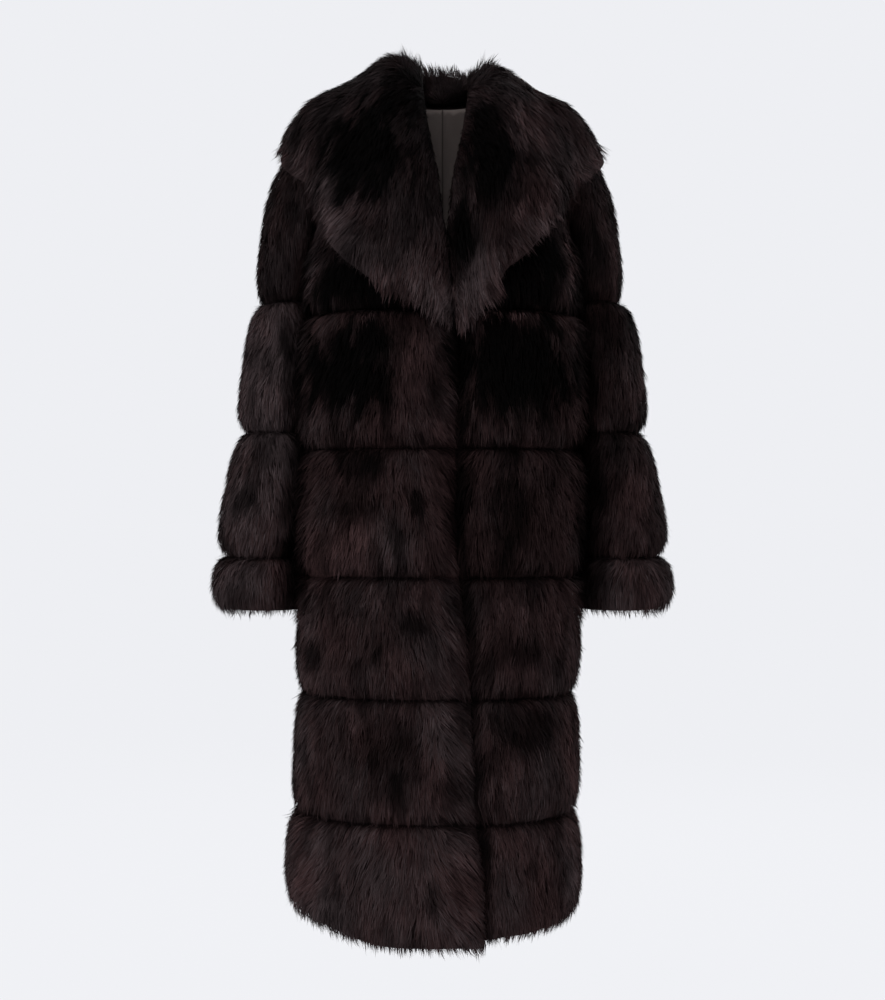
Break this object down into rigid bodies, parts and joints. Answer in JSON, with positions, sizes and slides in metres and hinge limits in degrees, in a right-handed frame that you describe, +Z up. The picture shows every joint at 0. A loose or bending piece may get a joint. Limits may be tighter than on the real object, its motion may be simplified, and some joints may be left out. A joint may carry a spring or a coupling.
{
  "type": "shearling coat",
  "caption": "Long fur-side-out shearling coat of banded panels with a shawl collar, turned cuffs and open neck, hem and sleeves.",
  "frame": {"origin": "middle of the neck, level with the neck seam at the shoulders, where the wearer's shoulders hold the coat", "axes": "+Z up towards the neck, -Y out of the coat's front, +X towards the wearer's left sleeve"},
  "size_m": [0.653, 0.3394, 1.1999],
  "materials": {
    "shearling": "long dark brown pile",
    "lining": "grey-brown woven twill"
  },
  "bodies": {
    "root": {"back_1": "shearling", "back_2": "shearling", "back_3": "shearling", "back_4": "shearling", "back_5": "shearling", "back_6": "shearling", "back_lining": "lining", "collar_left": "shearling", "collar_right": "shearling", "cuff_left": "shearling", "cuff_right": "shearling", "front_left_1": "shearling", "front_left_2": "shearling", "front_left_3": "shearling", "front_left_4": "shearling", "front_left_5": "shearling", "front_left_6": "shearling", "front_right_1": "shearling", "front_right_2": "shearling", "front_right_3": "shearling", "front_right_4": "shearling", "front_right_5": "shearling", "front_right_6": "shearling", "sleeve_left_1": "shearling", "sleeve_left_2": "shearling", "sleeve_left_3": "shearling", "sleeve_right_1": "shearling", "sleeve_right_2": "shearling", "sleeve_right_3": "shearling"}
  },
  "joints": []
}
